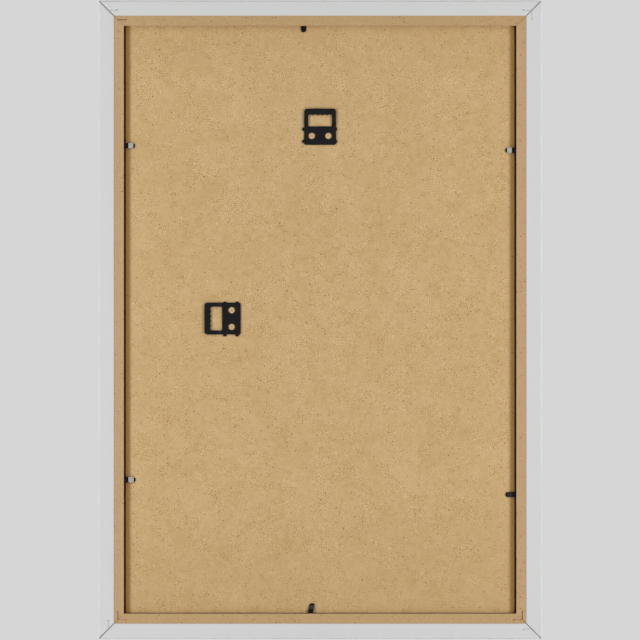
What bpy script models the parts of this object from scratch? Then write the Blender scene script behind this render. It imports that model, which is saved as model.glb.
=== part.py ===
"""Picture frame for a 400 x 600 mm picture, made to hang upright or on its side.

Four mitred fibreboard rails, wrapped in white foil, hold the glass, an insert sheet and a
fibreboard back panel. Six bendable steel points keep the panel in the rebate, and two
pressed steel hangers with toothed bars are clinched into it.

The frame hangs upright with +Z up. The picture faces -Y and the wall side is +Y, and
left and right are as seen from the front. The origin is the point on the wall behind the
middle notch of the upright hanger, where the nail that the frame hangs on goes in.
"""

import math

import bmesh
import bpy
from mathutils import Vector

MM = 0.001

# Picture and rebate
PICTURE_WIDTH = 400 * MM
PICTURE_HEIGHT = 600 * MM
REBATE_PLAY = 2 * MM

# Rail section, from its outer edge inwards and from its front face backwards
RAIL_WALL = 25.5 * MM
LIP_REACH = 5 * MM
LIP_THICKNESS = 5 * MM
FRAME_DEPTH = 18 * MM
EDGE_RADIUS = 1.4 * MM
FOIL_THICKNESS = 0.3 * MM
FOIL_RETURN = 15.3 * MM
GLUE_GAP = 0.2 * MM
MITRE_GAP = 0.3 * MM

# Panels in the rebate, front to back
SEAT_GAP = 0.3 * MM
GLASS_THICKNESS = 2 * MM
GLASS_PLAY = 1.6 * MM
INSERT_THICKNESS = 0.4 * MM
INSERT_PLAY = 5 * MM
PANEL_THICKNESS = 3 * MM
PANEL_SIDE_GAP = 2 * MM
PANEL_TOP_GAP = 0.4 * MM
PANEL_BOTTOM_GAP = 1.0 * MM
PANEL_CORNER = 2.2 * MM

# Corner nails: a bent strip driven across each mitre, two to a corner
NAIL_OUTER_INSET = 9.8 * MM
NAIL_INNER_WALL = 6 * MM
NAIL_LEG = 8.2 * MM
NAIL_HEIGHT = 10 * MM
NAIL_THICKNESS = 0.5 * MM
NAIL_BEND = 0.8 * MM
NAIL_CURL = 0.6 * MM
NAIL_CURL_TURN = math.radians(130)
NAIL_BEVEL_HEIGHT = 1.5 * MM
NAIL_EDGE = 0.15 * MM
NAIL_SINK = 0.3 * MM
NAIL_CLEARANCE = 0.15 * MM

# Bendable points: a steel tongue whose shank is shot into the rebate wall
POINT_WIDTH = 5.5 * MM
POINT_THICKNESS = 0.5 * MM
POINT_TIP_RADIUS = 2.2 * MM
POINT_SHANK = 6 * MM
POINT_SHANK_TAPER = 2.2 * MM
POINT_CLEARANCE = 0.2 * MM
POINT_BEND_GAP = 0.2 * MM
POINT_FLAT = 4 * MM
POINT_TOE = 1.8 * MM
POINT_BEND_RADIUS = 1.0 * MM

# Each point: wall it sits in, place along that wall from its middle, reach past the wall,
# slope of the middle stretch, and slant along the wall. Along a wall is towards +X or +Z.
POINTS = {
    "right_upper": ("right", 178.3 * MM, 11.2 * MM, math.radians(28), 0.0),
    "right_lower": ("right", -163.9 * MM, 11.8 * MM, math.radians(28), 0.0),
    "left_upper": ("left", 173.6 * MM, 11.2 * MM, math.radians(28), 0.0),
    "left_lower": ("left", -179.1 * MM, 11.0 * MM, math.radians(12), 0.0),
    "top": ("top", 17.0 * MM, 6.5 * MM, math.radians(14), 0.0),
    "bottom": ("bottom", 10.0 * MM, 10.6 * MM, math.radians(14), math.radians(-11)),
}

# Hanger pressing, upright with its loop on top and seen from behind the frame
HANGER_WIDTH = 32.7 * MM
HANGER_HEIGHT = 37.2 * MM
HANGER_THICKNESS = 0.8 * MM
HANGER_TOP_RADIUS = 3.0 * MM
HANGER_FOOT_RADIUS = 1.8 * MM
HANGER_FOOT_HEIGHT = 19.0 * MM
HANGER_LEG = 4.2 * MM
HANGER_BAR = 6.0 * MM
WINDOW_RADIUS = 1.4 * MM
NOTCH_COUNT = 5
NOTCH_DEPTH = 1.3 * MM
LOOP_RISE = 0.7 * MM
LOOP_STEP_START = 1.4 * MM
LOOP_STEP_LENGTH = 1.6 * MM
STUB_WIDTH = 3.4 * MM
STUB_LONG = 2.0 * MM
STUB_SHORT = 1.1 * MM
STUB_ROUNDING = 1 * MM
STUB_HEIGHTS = (3.6 * MM, 16.2 * MM)
COLLAR_SPACING = 17.1 * MM
COLLAR_HEIGHT = 9.2 * MM
COLLAR_BORE = 6.8 * MM
COLLAR_DRAW = 1.6 * MM
COLLAR_FLARE = 0.35 * MM
COLLAR_FLOOR = 0.6 * MM
COLLAR_CLEARANCE = 0.25 * MM

# Hangers on the panel: from its top or right edge to the toothed bar, and off its middle
PORTRAIT_EDGE_DISTANCE = 84.3 * MM
LANDSCAPE_EDGE_DISTANCE = 80.4 * MM
LANDSCAPE_OFFSET = 1.2 * MM

# Faceting of round shapes, and the least angle of an edge that stays sharp
SHARP_ANGLE = math.radians(30)
ARC_STEPS = 5
COLLAR_SIDES = 28
TIP_STEPS = 7
NOTCH_STEPS = 8
LOOP_STEP_ROWS = 6
MERGE_DISTANCE = 0.001 * MM

# Places worked out from the sizes above
REBATE_WIDTH = PICTURE_WIDTH + REBATE_PLAY
REBATE_HEIGHT = PICTURE_HEIGHT + REBATE_PLAY
FRAME_WIDTH = REBATE_WIDTH + 2 * RAIL_WALL
FRAME_HEIGHT = REBATE_HEIGHT + 2 * RAIL_WALL
FRONT_Y = -FRAME_DEPTH
BACK_Y = 0.0
TOP_Z = RAIL_WALL + PANEL_TOP_GAP + PORTRAIT_EDGE_DISTANCE + HANGER_BAR
BOTTOM_Z = TOP_Z - FRAME_HEIGHT
MIDDLE_Z = TOP_Z - FRAME_HEIGHT / 2
GLASS_Y = FRONT_Y + LIP_THICKNESS + SEAT_GAP
INSERT_Y = GLASS_Y + GLASS_THICKNESS + SEAT_GAP
PANEL_Y = INSERT_Y + INSERT_THICKNESS + SEAT_GAP
PANEL_BACK_Y = PANEL_Y + PANEL_THICKNESS
HANGER_Y = PANEL_BACK_Y + SEAT_GAP
PANEL_TOP = TOP_Z - RAIL_WALL - PANEL_TOP_GAP
PANEL_SIDE = REBATE_WIDTH / 2 - PANEL_SIDE_GAP


def arc(centre, radius, start, end, steps=ARC_STEPS):
    """Points of an arc, both ends included, with angles in radians."""
    turns = [start + (end - start) * i / steps for i in range(steps + 1)]
    return [(centre[0] + radius * math.cos(t), centre[1] + radius * math.sin(t)) for t in turns]


def filleted(corners, steps=ARC_STEPS):
    """Closed outline through (x, y, radius) corners, each rounded by an arc of its radius."""
    outline = []
    for index, (x, y, radius) in enumerate(corners):
        here = Vector((x, y))
        if radius <= 0:
            outline.append((x, y))
            continue
        before = (Vector(corners[index - 1][:2]) - here).normalized()
        after = (Vector(corners[(index + 1) % len(corners)][:2]) - here).normalized()
        half = before.angle(after) / 2
        centre = here + (before + after).normalized() * (radius / math.sin(half))
        first = here + before * (radius / math.tan(half)) - centre
        last = here + after * (radius / math.tan(half)) - centre
        start = math.atan2(first.y, first.x)
        turn = (math.atan2(last.y, last.x) - start + math.pi) % (2 * math.pi) - math.pi
        outline += arc(centre, radius, start, start + turn, steps)
    return outline


def finish(name, colour, roughness, metallic=0.0, transmission=0.0):
    """Material of one colour, roughness and metallic value."""
    material = bpy.data.materials.new(name)
    material.use_nodes = True
    shader = material.node_tree.nodes["Principled BSDF"]
    shader.inputs["Base Color"].default_value = (*colour, 1.0)
    shader.inputs["Roughness"].default_value = roughness
    shader.inputs["Metallic"].default_value = metallic
    shader.inputs["Transmission Weight"].default_value = transmission
    material.diffuse_color = (*colour, 1.0)
    return material


def add_object(name, bm, material=None):
    """Object made from a bmesh."""
    mesh = bpy.data.meshes.new(name)
    bm.to_mesh(mesh)
    bm.free()
    if material:
        mesh.materials.append(material)
    made = bpy.data.objects.new(name, mesh)
    bpy.context.scene.collection.objects.link(made)
    return made


def loft(loops):
    """Closed bmesh skinned over loops of equally many points, capped at both ends."""
    bm = bmesh.new()
    rings = [[bm.verts.new(point) for point in loop] for loop in loops]
    for one, two in zip(rings, rings[1:]):
        for i in range(len(one)):
            j = (i + 1) % len(one)
            bm.faces.new((one[i], one[j], two[j], two[i]))
    bm.faces.new(rings[0])
    bm.faces.new(rings[-1])
    bmesh.ops.recalc_face_normals(bm, faces=bm.faces)
    return bm


def prism(outline, start_y, end_y):
    """Closed bmesh of an (x, z) outline between two depths."""
    return loft([[(x, y, z) for x, z in outline] for y in (start_y, end_y)])


def cut(target, cutter):
    """Takes the cutter's shape out of the target and hides the cutter."""
    cutter.hide_render = True
    cutter.display_type = "WIRE"
    boolean = target.modifiers.new(cutter.name, "BOOLEAN")
    boolean.operation = "DIFFERENCE"
    boolean.object = cutter


def settle_shapes():
    """Applies every modifier, shades round faces smooth and takes the cutters away."""
    depsgraph = bpy.context.evaluated_depsgraph_get()
    pieces = [item for item in bpy.data.objects if not item.hide_render]
    shapes = [bpy.data.meshes.new_from_object(item.evaluated_get(depsgraph)) for item in pieces]
    for piece, shape in zip(pieces, shapes):
        piece.modifiers.clear()
        piece.data = shape
        shape.name = piece.name
        shape.shade_smooth()
        shape.set_sharp_from_angle(angle=SHARP_ANGLE)
    for cutter in [item for item in bpy.data.objects if item.hide_render]:
        bpy.data.objects.remove(cutter)


def core_profile():
    """Section of a rail's fibreboard core as (inward, backward) points, under its foil."""
    skin = FOIL_THICKNESS + GLUE_GAP
    radius = EDGE_RADIUS - skin
    inner = RAIL_WALL + LIP_REACH - skin
    back = FRAME_DEPTH - skin
    bare = FOIL_RETURN + GLUE_GAP
    return filleted([
        (skin, skin, radius),
        (inner, skin, radius),
        (inner, LIP_THICKNESS, 0),
        (RAIL_WALL, LIP_THICKNESS, 0),
        (RAIL_WALL, FRAME_DEPTH, 0),
        (bare, FRAME_DEPTH, 0),
        (bare, back, 0),
        (skin, back, radius),
    ])


def foil_profile():
    """Section of the foil, from the back of the lip round the front to the back face."""
    inner = RAIL_WALL + LIP_REACH
    radius = EDGE_RADIUS - FOIL_THICKNESS
    skin = FOIL_THICKNESS
    return filleted([
        (inner, LIP_THICKNESS, 0),
        (inner, 0, EDGE_RADIUS),
        (0, 0, EDGE_RADIUS),
        (0, FRAME_DEPTH, EDGE_RADIUS),
        (FOIL_RETURN, FRAME_DEPTH, 0),
        (FOIL_RETURN, FRAME_DEPTH - skin, 0),
        (skin, FRAME_DEPTH - skin, radius),
        (skin, skin, radius),
        (inner - skin, skin, radius),
        (inner - skin, LIP_THICKNESS, 0),
    ])


def mitred_bar(profile, length):
    """Closed bmesh of a section run along X and cut back at 45 degrees at both ends."""
    half = length / 2 - MITRE_GAP / math.sqrt(2)
    ends = [[(side * (half - u), FRONT_Y + v, u) for u, v in profile] for side in (-1, 1)]
    return loft(ends)


def rail_places():
    """Each rail's length, location and turn about Y, its outer edge on the frame's outline."""
    return {
        "bottom": (FRAME_WIDTH, (0, 0, BOTTOM_Z), 0.0),
        "top": (FRAME_WIDTH, (0, 0, TOP_Z), math.pi),
        "left": (FRAME_HEIGHT, (-FRAME_WIDTH / 2, 0, MIDDLE_Z), math.pi / 2),
        "right": (FRAME_HEIGHT, (FRAME_WIDTH / 2, 0, MIDDLE_Z), -math.pi / 2),
    }


def make_rails(core_material, foil_material):
    """Fibreboard core and foil wrap of each rail, by the side of the frame they are on."""
    cores, foils = {}, {}
    for side, (length, location, turn) in rail_places().items():
        core = mitred_bar(core_profile(), length)
        foil = mitred_bar(foil_profile(), length)
        cores[side] = add_object(f"{side}_rail", core, core_material)
        foils[side] = add_object(f"{side}_rail_foil", foil, foil_material)
        for piece in (cores[side], foils[side]):
            piece.location = location
            piece.rotation_euler.y = turn
    return cores, foils


def nail_line(inset):
    """Plan of a corner nail, both legs along the rails from a bend that points outwards."""
    leg = [(inset + NAIL_BEND, inset), (inset + NAIL_LEG, inset)]
    curl_centre = (inset + NAIL_LEG, inset - NAIL_CURL)
    curl = arc(curl_centre, NAIL_CURL, math.pi / 2, math.pi / 2 - NAIL_CURL_TURN)[1:]
    bend = arc((inset + NAIL_BEND, inset + NAIL_BEND), NAIL_BEND, -3 * math.pi / 4, -math.pi / 2, 3)
    half = bend[:-1] + leg + curl
    return [(z, x) for x, z in reversed(half[1:])] + half


def strip_outline(line, thickness, lengthen=0.0):
    """Closed outline of a strip of even thickness round a line of points."""
    points = [Vector(p) for p in line]
    steps = [(after - before).normalized() for before, after in zip(points, points[1:])]
    points[0] -= steps[0] * lengthen
    points[-1] += steps[-1] * lengthen
    one, two = [], []
    for point, behind, ahead in zip(points, steps[:1] + steps, steps + steps[-1:]):
        along = (behind + ahead).normalized()
        across = Vector((-along.y, along.x)) * thickness / 2 / along.dot(ahead)
        one.append(point + across)
        two.append(point - across)
    return [tuple(p) for p in one + two[::-1]]


def nail_solid(inset):
    """A corner nail, its far end ground to a thin edge."""
    line = nail_line(inset)
    back = BACK_Y - NAIL_SINK
    front = back - NAIL_HEIGHT
    stations = [
        (back, NAIL_THICKNESS),
        (front + NAIL_BEVEL_HEIGHT, NAIL_THICKNESS),
        (front, NAIL_EDGE),
    ]
    return loft([[(x, y, z) for x, z in strip_outline(line, wide)] for y, wide in stations])


def nail_slot(inset):
    """The slot that a corner nail cuts, open at the back of the frame."""
    wide = NAIL_THICKNESS + 2 * NAIL_CLEARANCE
    outline = strip_outline(nail_line(inset), wide, NAIL_CLEARANCE)
    floor = BACK_Y - NAIL_SINK - NAIL_HEIGHT - NAIL_CLEARANCE
    return prism(outline, floor, BACK_Y + NAIL_HEIGHT)


def make_corner_nails(cores, foils, material):
    """Two nails in each corner, slotted through the cores and foils of both rails."""
    corners = {
        "bottom_left": ((-FRAME_WIDTH / 2, 0, BOTTOM_Z), 0.0),
        "top_left": ((-FRAME_WIDTH / 2, 0, TOP_Z), math.pi / 2),
        "top_right": ((FRAME_WIDTH / 2, 0, TOP_Z), math.pi),
        "bottom_right": ((FRAME_WIDTH / 2, 0, BOTTOM_Z), -math.pi / 2),
    }
    insets = {"outer": NAIL_OUTER_INSET, "inner": RAIL_WALL - NAIL_INNER_WALL}
    for corner, (location, turn) in corners.items():
        for row, inset in insets.items():
            nail = add_object(f"nail_{corner}_{row}", nail_solid(inset), material)
            slot = add_object(f"slot_{corner}_{row}", nail_slot(inset))
            for piece in (nail, slot):
                piece.location = location
                piece.rotation_euler.y = turn
            for side in corner.split("_"):
                cut(cores[side], slot)
                cut(foils[side], slot)


def wall_places():
    """Middle of each rebate wall and the turn about Y that points local X into the frame."""
    return {
        "left": ((-REBATE_WIDTH / 2, MIDDLE_Z), 0.0),
        "right": ((REBATE_WIDTH / 2, MIDDLE_Z), math.pi),
        "bottom": ((0, BOTTOM_Z + RAIL_WALL), -math.pi / 2),
        "top": ((0, TOP_Z - RAIL_WALL), math.pi / 2),
    }


def point_line(reach, slope):
    """Side view of a point: flat at its root, a slope to the panel, then a flat toe."""
    run = reach - POINT_BEND_GAP - POINT_THICKNESS / 2
    fall = (run - POINT_FLAT - POINT_TOE) * math.tan(slope)
    heel = (POINT_FLAT, 0, POINT_BEND_RADIUS)
    ball = (run - POINT_TOE, -fall, POINT_BEND_RADIUS)
    return filleted([(0, 0, 0), heel, ball, (run, -fall, 0), (run, -fall - run, 0)], 3)[:-1], fall


def point_half_width(along, run):
    """Half the width of a point at a place along it, narrowing round its tip."""
    into_tip = max(along - (run - POINT_TIP_RADIUS), 0.0)
    round_off = math.sqrt(max(POINT_TIP_RADIUS**2 - into_tip**2, 0.0))
    return POINT_WIDTH / 2 - POINT_TIP_RADIUS + round_off


def tongue(reach, slope, slant):
    """A point's bendable tongue, round at the root about its bend line, which is local Z."""
    line, _ = point_line(reach, slope)
    run = line[-1][0]
    half = POINT_THICKNESS / 2
    tip_turns = [math.pi / 2 * i / TIP_STEPS for i in range(1, TIP_STEPS + 1)]
    tip = [run - POINT_TIP_RADIUS * (1 - math.sin(turn)) for turn in tip_turns]
    line = [p for p in line if p[0] < tip[0]] + [(place, line[-1][1]) for place in tip]
    outline = strip_outline(line, POINT_THICKNESS)
    upper, lower = outline[: len(line)], outline[len(line):][::-1]
    root = arc((0, 0), half, math.pi / 2, 3 * math.pi / 2, 4)[1:-1]
    bm = bmesh.new()

    def edge(point, side, width):
        return bm.verts.new((point[0], point[1], side * width + point[0] * math.tan(slant)))

    widths = [point_half_width(p[0], run) for p in line]
    sides = []
    for side in (-1, 1):
        above = [edge(p, side, w) for p, w in zip(upper, widths)]
        below = [edge(p, side, w) for p, w in zip(lower, widths)]
        behind = [edge(p, side, POINT_WIDTH / 2) for p in root]
        bm.faces.new([above[0], *behind, below[0]])
        for i in range(len(line) - 1):
            bm.faces.new((above[i], above[i + 1], below[i + 1], below[i]))
        sides.append([*reversed(below), *reversed(behind), *above])
    for i in range(-1, len(sides[0]) - 1):
        bm.faces.new((sides[0][i], sides[0][i + 1], sides[1][i + 1], sides[1][i]))
    bmesh.ops.recalc_face_normals(bm, faces=bm.faces)
    return bm


def shank_outline(slant, clearance=0.0):
    """Plan of a point's shank as (into the frame, along the wall), sharpened at its far end."""
    wide = POINT_WIDTH / 2 + clearance
    far = -POINT_SHANK - clearance
    taper = far + POINT_SHANK_TAPER
    near = 2 * clearance
    plan = [(near, -wide), (near, wide), (taper, wide), (far, clearance), (far, -clearance), (taper, -wide)]
    if not clearance:
        plan = [(near, -wide), (near, wide), (taper, wide), (far, 0), (taper, -wide)]
    return [(x, z + x * math.tan(slant)) for x, z in plan]


def make_points(cores, material):
    """Tongue and shank of each bendable point, the shank in a pocket of its rail."""
    for name, (side, along, reach, slope, slant) in POINTS.items():
        (wall_x, wall_z), turn = wall_places()[side]
        _, fall = point_line(reach, slope)
        height = PANEL_BACK_Y + SEAT_GAP + POINT_THICKNESS / 2 + fall
        offset = POINT_BEND_GAP + POINT_THICKNESS / 2
        into_x, into_z = math.cos(turn), -math.sin(turn)
        vertical = side in ("left", "right")
        foot = (wall_x, wall_z + along) if vertical else (wall_x + along, wall_z)
        # Local Z runs down the right wall and to the left on the bottom one.
        lean = -slant if side in ("right", "bottom") else slant
        blade = add_object(f"point_{name}", tongue(reach, slope, lean), material)
        blade.location = (foot[0] + offset * into_x, height, foot[1] + offset * into_z)
        half = POINT_THICKNESS / 2
        shank = add_object(f"shank_{name}", prism(shank_outline(lean), -half, half), material)
        room = half + POINT_CLEARANCE
        pocket_plan = shank_outline(lean, POINT_CLEARANCE)
        pocket = add_object(f"pocket_{name}", prism(pocket_plan, -room, room))
        for piece in (shank, pocket):
            piece.location = (foot[0], height, foot[1])
        for piece in (blade, shank, pocket):
            piece.rotation_euler.y = turn
        cut(cores[side], pocket)


def make_pane(name, play, y, thickness, material):
    """A sheet that rests on the bottom wall of the rebate, with its play at the top and sides."""
    low = BOTTOM_Z + RAIL_WALL + SEAT_GAP
    high = TOP_Z - RAIL_WALL - play
    side = REBATE_WIDTH / 2 - play / 2
    outline = [(-side, low), (side, low), (side, high), (-side, high)]
    return add_object(name, prism(outline, y, y + thickness), material)


def hanger_places():
    """Middle of each hanger's foot edge on the panel, and the turn about Y of its loop."""
    upright = (0, PANEL_TOP - PORTRAIT_EDGE_DISTANCE - HANGER_HEIGHT)
    sideways = (PANEL_SIDE - LANDSCAPE_EDGE_DISTANCE - HANGER_HEIGHT, MIDDLE_Z + LANDSCAPE_OFFSET)
    return {"portrait": (upright, 0.0), "landscape": (sideways, math.pi / 2)}


def collar_stations():
    """(radius, depth) of a collar's inside from the hanger's outer face to its flared end."""
    bore = COLLAR_BORE / 2
    depth = HANGER_THICKNESS + SEAT_GAP + PANEL_THICKNESS - COLLAR_FLOOR - COLLAR_CLEARANCE
    draw = arc((bore + COLLAR_DRAW, COLLAR_DRAW), COLLAR_DRAW, -math.pi / 2, -math.pi)
    return draw + [(bore, depth - 2 * COLLAR_FLARE), (bore + COLLAR_FLARE, depth)]


def collar_groove():
    """Ring cut in the panel round a collar, leaving the disc that shows through its bore."""
    inside = COLLAR_BORE / 2 - COLLAR_CLEARANCE
    outside = COLLAR_BORE / 2 + HANGER_THICKNESS + COLLAR_FLARE + COLLAR_CLEARANCE
    mouth = COLLAR_BORE / 2 + COLLAR_DRAW + COLLAR_CLEARANCE
    floor = PANEL_THICKNESS - COLLAR_FLOOR
    above = HANGER_THICKNESS
    tube = [(inside, above), (inside, -floor), (outside, -floor), (outside, -COLLAR_DRAW)]
    bm = bmesh.new()
    verts = [bm.verts.new((radius, y, 0)) for radius, y in tube + [(mouth, 0), (mouth, above)]]
    edges = [bm.edges.new((verts[i - 1], verts[i])) for i in range(len(verts))]
    bmesh.ops.spin(
        bm, geom=verts + edges, cent=(0, 0, 0), axis=(0, 1, 0), angle=2 * math.pi, steps=COLLAR_SIDES
    )
    bmesh.ops.remove_doubles(bm, verts=bm.verts, dist=MERGE_DISTANCE)
    bmesh.ops.recalc_face_normals(bm, faces=bm.faces)
    return bm


def side_stubs(side, length):
    """Corners of the stubs on one side of the hanger, up its right side or down its left."""
    half = HANGER_WIDTH / 2
    corners = []
    for middle in STUB_HEIGHTS[::side]:
        near = middle - side * STUB_WIDTH / 2
        far = middle + side * STUB_WIDTH / 2
        corners += [
            (side * half, near, 0),
            (side * (half + length), near, STUB_ROUNDING),
            (side * (half + length), far, STUB_ROUNDING),
            (side * half, far, 0),
        ]
    return corners


def hanger_outline():
    """Outer edge of the hanger as (x, z), from its foot edge up, with its side stubs."""
    half = HANGER_WIDTH / 2
    return filleted([
        (-half, 0, HANGER_FOOT_RADIUS),
        (half, 0, HANGER_FOOT_RADIUS),
        *side_stubs(1, STUB_LONG),
        (half, HANGER_HEIGHT, HANGER_TOP_RADIUS),
        (-half, HANGER_HEIGHT, HANGER_TOP_RADIUS),
        *side_stubs(-1, STUB_SHORT),
    ], 4)


def hanger_window():
    """Edge of the hanger's window, its top a row of round notches that leave teeth between."""
    half = HANGER_WIDTH / 2 - HANGER_LEG
    teeth = HANGER_HEIGHT - HANGER_BAR - NOTCH_DEPTH
    foot = [(-half, HANGER_FOOT_HEIGHT, WINDOW_RADIUS), (half, HANGER_FOOT_HEIGHT, WINDOW_RADIUS)]
    lower = filleted([(-half, teeth, 0), *foot, (half, teeth, 0)], 4)
    pitch = 2 * half / NOTCH_COUNT
    radius = (pitch**2 / 4 + NOTCH_DEPTH**2) / (2 * NOTCH_DEPTH)
    swing = math.asin(pitch / 2 / radius)
    notches = []
    for index in range(NOTCH_COUNT):
        middle = half - pitch * (index + 0.5)
        centre = (middle, teeth + NOTCH_DEPTH - radius)
        notches += arc(centre, radius, math.pi / 2 - swing, math.pi / 2 + swing, NOTCH_STEPS)[1:]
    return lower + notches[:-1]


def edge_loop(bm, outline):
    """Closed loop of edges through (x, z) points at depth 0."""
    verts = [bm.verts.new((x, 0, z)) for x, z in outline]
    return [bm.edges.new((verts[i - 1], verts[i])) for i in range(len(verts))]


def draw_collar(bm, loop, centre, stations):
    """Extrudes a hole's edge through (radius, depth) rings, so that the sheet turns into a tube."""
    for (before, _), (radius, depth) in zip(stations, stations[1:]):
        made = bmesh.ops.extrude_edge_only(bm, edges=loop)["geom"]
        loop = [item for item in made if isinstance(item, bmesh.types.BMEdge)]
        for vert in [item for item in made if isinstance(item, bmesh.types.BMVert)]:
            vert.co.x = centre[0] + (vert.co.x - centre[0]) * radius / before
            vert.co.z = centre[1] + (vert.co.z - centre[1]) * radius / before
            vert.co.y = -depth


def hanger_sheet():
    """Outer face of the hanger as a sheet: foot, two drawn collars and the stepped-up loop."""
    bm = bmesh.new()
    stations = collar_stations()
    outline = edge_loop(bm, hanger_outline()) + edge_loop(bm, hanger_window())
    collars = []
    for side in (-1, 1):
        centre = (side * COLLAR_SPACING / 2, COLLAR_HEIGHT)
        rim = arc(centre, stations[0][0], 0, 2 * math.pi, COLLAR_SIDES)[:-1]
        collars.append((edge_loop(bm, rim), centre))
    rims = [edge for loop, _ in collars for edge in loop]
    bmesh.ops.triangle_fill(bm, edges=outline + rims, use_beauty=True)
    step_foot = HANGER_FOOT_HEIGHT + LOOP_STEP_START
    for row in range(LOOP_STEP_ROWS + 1):
        level = step_foot + LOOP_STEP_LENGTH * row / LOOP_STEP_ROWS
        sheet = bm.verts[:] + bm.edges[:] + bm.faces[:]
        bmesh.ops.bisect_plane(bm, geom=sheet, plane_co=(0, 0, level), plane_no=(0, 0, 1), dist=1e-7)
    for vert in bm.verts:
        share = min(max((vert.co.z - step_foot) / LOOP_STEP_LENGTH, 0.0), 1.0)
        vert.co.y = LOOP_RISE * share * share * (3 - 2 * share)
    for loop, centre in collars:
        draw_collar(bm, loop, centre, stations)
    bmesh.ops.recalc_face_normals(bm, faces=bm.faces)
    top = max(bm.faces, key=lambda face: face.calc_center_median().z)
    if top.normal.y < 0:
        bmesh.ops.reverse_faces(bm, faces=bm.faces)
    return bm


def make_hangers(panel, material):
    """Both hangers, clinched by their collars into ring grooves in the panel."""
    for name, ((foot_x, foot_z), turn) in hanger_places().items():
        hanger = add_object(f"{name}_hanger", hanger_sheet(), material)
        solidify = hanger.modifiers.new("sheet_thickness", "SOLIDIFY")
        solidify.thickness = HANGER_THICKNESS
        solidify.offset = -1
        solidify.use_even_offset = True
        hanger.location = (foot_x, HANGER_Y + HANGER_THICKNESS, foot_z)
        hanger.rotation_euler.y = turn
        for side in (-1, 1):
            groove = add_object(f"groove_{name}_{side}", collar_groove())
            across, up = side * COLLAR_SPACING / 2, COLLAR_HEIGHT
            x = foot_x + across * math.cos(turn) + up * math.sin(turn)
            z = foot_z - across * math.sin(turn) + up * math.cos(turn)
            groove.location = (x, PANEL_BACK_Y, z)
            cut(panel, groove)


def make_panel(material):
    """The fibreboard back panel, with eased corners."""
    low = BOTTOM_Z + RAIL_WALL + PANEL_BOTTOM_GAP
    foot = [(-PANEL_SIDE, low), (PANEL_SIDE, low)]
    corners = foot + [(PANEL_SIDE, PANEL_TOP), (-PANEL_SIDE, PANEL_TOP)]
    outline = filleted([(x, z, PANEL_CORNER) for x, z in corners], 4)
    return add_object("back_panel", prism(outline, PANEL_Y, PANEL_BACK_Y), material)


def clear_scene():
    """Removes what a new scene starts with."""
    for item in list(bpy.data.objects):
        bpy.data.objects.remove(item)


def main():
    """Builds the frame from its rails inwards."""
    clear_scene()
    fibreboard = finish("fibreboard", (0.50, 0.33, 0.16), 0.85)
    panel_board = finish("panel_board", (0.56, 0.38, 0.17), 0.8)
    foil = finish("white_foil", (0.82, 0.82, 0.80), 0.45)
    glass = finish("clear_glass", (0.95, 0.98, 0.97), 0.03, transmission=1.0)
    paper = finish("white_paper", (0.90, 0.90, 0.88), 0.7)
    black_steel = finish("black_steel", (0.02, 0.02, 0.022), 0.35)
    nail_steel = finish("nail_steel", (0.35, 0.35, 0.36), 0.4, metallic=1.0)
    cores, foils = make_rails(fibreboard, foil)
    make_corner_nails(cores, foils, nail_steel)
    make_pane("glass_pane", GLASS_PLAY, GLASS_Y, GLASS_THICKNESS, glass)
    make_pane("insert_sheet", INSERT_PLAY, INSERT_Y, INSERT_THICKNESS, paper)
    panel = make_panel(panel_board)
    make_hangers(panel, black_steel)
    make_points(cores, black_steel)
    settle_shapes()


main()
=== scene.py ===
"""Looks of a foil-wrapped fibreboard picture frame, seen from the wall side.

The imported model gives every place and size. This script dresses its nodes with procedural
finishes, rounds the pressed steel parts, fills the glued mitres and sets up a plain studio
with a lamp on either side of the camera.
"""

import logging
import math
from dataclasses import dataclass, field
from enum import Enum
from typing import Any, Callable, Iterable, Optional, Union

import bpy
from mathutils import Matrix, Vector


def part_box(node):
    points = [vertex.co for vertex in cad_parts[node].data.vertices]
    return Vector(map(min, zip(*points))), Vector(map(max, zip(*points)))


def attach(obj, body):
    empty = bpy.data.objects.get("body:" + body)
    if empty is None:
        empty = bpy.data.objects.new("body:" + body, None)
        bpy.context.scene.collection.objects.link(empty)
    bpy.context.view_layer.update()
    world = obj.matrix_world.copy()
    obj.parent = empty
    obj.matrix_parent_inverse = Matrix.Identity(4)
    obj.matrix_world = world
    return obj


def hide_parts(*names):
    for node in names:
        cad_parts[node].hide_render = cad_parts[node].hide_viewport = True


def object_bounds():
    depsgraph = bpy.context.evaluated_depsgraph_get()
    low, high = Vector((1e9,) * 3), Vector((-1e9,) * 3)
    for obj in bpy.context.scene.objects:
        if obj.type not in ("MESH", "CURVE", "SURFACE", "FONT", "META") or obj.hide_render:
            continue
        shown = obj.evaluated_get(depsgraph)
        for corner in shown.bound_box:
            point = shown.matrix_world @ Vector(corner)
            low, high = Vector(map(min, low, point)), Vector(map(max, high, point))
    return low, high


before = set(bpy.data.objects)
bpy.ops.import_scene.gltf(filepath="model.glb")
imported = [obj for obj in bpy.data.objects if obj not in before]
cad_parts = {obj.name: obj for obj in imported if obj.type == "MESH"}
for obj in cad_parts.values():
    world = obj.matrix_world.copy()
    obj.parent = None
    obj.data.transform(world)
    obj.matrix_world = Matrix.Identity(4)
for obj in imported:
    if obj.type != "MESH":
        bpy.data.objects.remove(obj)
CAD_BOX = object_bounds()

MM = 0.001
ROOT_BODY = "frame"
MERGE_REACH = 0.002 * MM
FLAT_ANGLE = math.radians(0.5)
SMOOTH_ANGLE = math.radians(32)
SHARP_ANGLE = math.radians(40)
LOG = logging.getLogger("picture_frame")

Colour = tuple[float, float, float]
Value = Union["Wire", float, int]


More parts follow.
